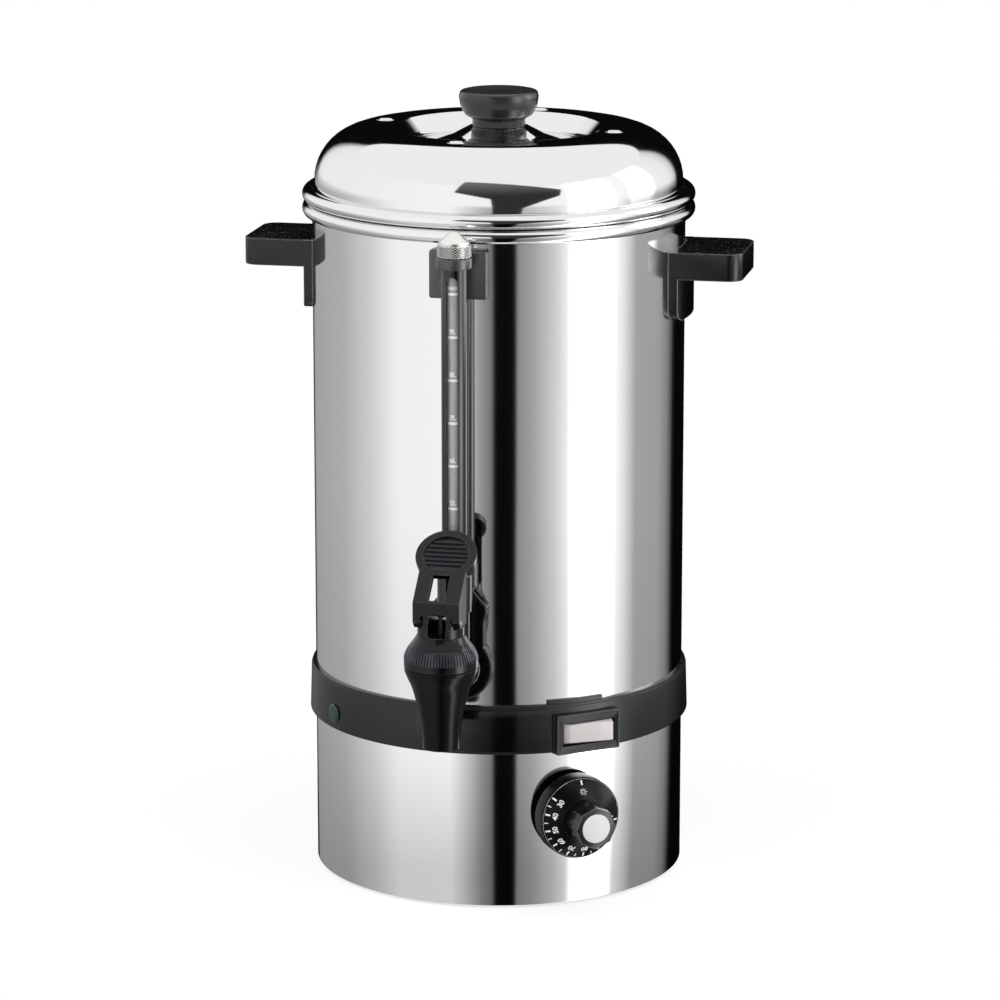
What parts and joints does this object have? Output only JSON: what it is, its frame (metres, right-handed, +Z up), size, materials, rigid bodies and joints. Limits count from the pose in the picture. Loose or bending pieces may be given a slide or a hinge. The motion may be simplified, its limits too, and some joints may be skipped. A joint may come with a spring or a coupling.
{
  "type": "hot water urn",
  "caption": "Tall stainless hot water urn with lift-off lid, side handles, sight gauge, self-closing lever tap, rocker switch and thermostat dial.",
  "frame": {"origin": "middle of the foot ring's underside, on the table and on the tank's axis", "axes": "+Z up along the tank's axis; -Y towards the tap and gauge, the front; +X towards the right-hand handle seen from the front"},
  "size_m": [0.3046, 0.3109, 0.4773],
  "materials": {
    "mirror_steel": "mirror polished stainless steel",
    "inner_steel": "plain sheet steel",
    "black_bakelite": "moulded phenolic, satin",
    "black_plastic": "moulded, semi gloss",
    "band_plastic": "satin",
    "panel_plastic": "gloss",
    "white_plastic": "satin",
    "rocker_plastic": "translucent",
    "lamp_lens": "translucent",
    "glass": "clear",
    "nickel": "bright nickel plate",
    "zinc_screw": "zinc plate",
    "silicone": "translucent silicone",
    "foot_rubber": "matt",
    "aluminium": "cast",
    "brass": "turned",
    "copper": "drawn copper tube",
    "terminal_plastic": "matt",
    "spring_steel": "drawn wire"
  },
  "bodies": {
    "urn": {"tank_pot": "mirror_steel", "base_skirt": "mirror_steel", "base_plate": "inner_steel", "foot_ring": "foot_rubber", "base_screws": "zinc_screw", "band_ring": "band_plastic", "front_plate": "panel_plastic", "switch_housing": "black_plastic", "switch_spades": "brass", "pilot_lens": "lamp_lens", "pilot_lamp": "terminal_plastic", "thermostat_body": "inner_steel", "thermostat_screws": "zinc_screw", "thermostat_bulb": "copper", "bulb_clip": "inner_steel", "heat_spreader": "aluminium", "heating_element": "inner_steel", "safety_cutout": "terminal_plastic", "earth_stud": "zinc_screw", "earth_nut": "zinc_screw", "cord_gland": "black_plastic", "gland_nut": "black_plastic", "terminal_block": "terminal_plastic", "terminal_screws": "brass", "handle_right": "black_bakelite", "handle_left": "black_bakelite", "handle_screws": "zinc_screw", "gauge_base": "black_plastic", "gauge_lower_seal": "silicone", "sight_tube": "glass", "gauge_guard": "black_plastic", "gauge_bracket": "black_plastic", "bracket_screws": "zinc_screw", "gauge_cap_nut": "nickel", "gauge_top_seal": "silicone", "tap_body": "black_plastic", "tap_gasket": "silicone", "tap_nut": "black_plastic", "bonnet_ring": "black_plastic", "tap_yoke": "black_plastic", "tap_spring": "spring_steel"},
    "lid": {"lid_shell": "mirror_steel", "lid_knob": "black_bakelite", "knob_insert": "brass", "knob_screw": "zinc_screw", "knob_washer": "zinc_screw"},
    "lever": {"tap_lever": "black_plastic", "lever_pins": "zinc_screw"},
    "valve": {"valve_stem": "white_plastic", "lift_pin": "zinc_screw", "valve_cup": "silicone"},
    "dial": {"dial_knob": "black_plastic", "dial_cap": "white_plastic", "thermostat_spindle": "brass"},
    "rocker": {"switch_rocker": "rocker_plastic"}
  },
  "joints": [
    {"name": "lid_lift", "type": "slide", "parent": "urn", "child": "lid", "axis": [0, 0, 1], "range_m": [0, 0.12]},
    {"name": "lever_pull", "type": "hinge", "parent": "urn", "child": "lever", "pos_m": [0, -0.175, 0.1924], "axis": [1, 0, 0], "range_deg": [0, 30], "stiffness_Nm_per_rad": 0.08, "springref_deg": -34.38},
    {"name": "valve_lift", "type": "slide", "parent": "urn", "child": "valve", "axis": [0, 0, 1], "range_m": [0, 0.0049], "deforming": ["tap_spring"]},
    {"name": "dial_turn", "type": "hinge", "parent": "urn", "child": "dial", "pos_m": [0.07269, -0.10777, 0.058], "axis": [-0.5592, 0.829, 0], "range_deg": [0, 262.4]},
    {"name": "rocker_press", "type": "hinge", "parent": "urn", "child": "rocker", "pos_m": [0.07125, -0.08989, 0.1076], "axis": [0, 0, 1], "range_deg": [0, 14]}
  ],
  "couplings": [
    {"joint": "lever_pull", "follows": "valve_lift", "rad_per_m": 106.69}
  ]
}
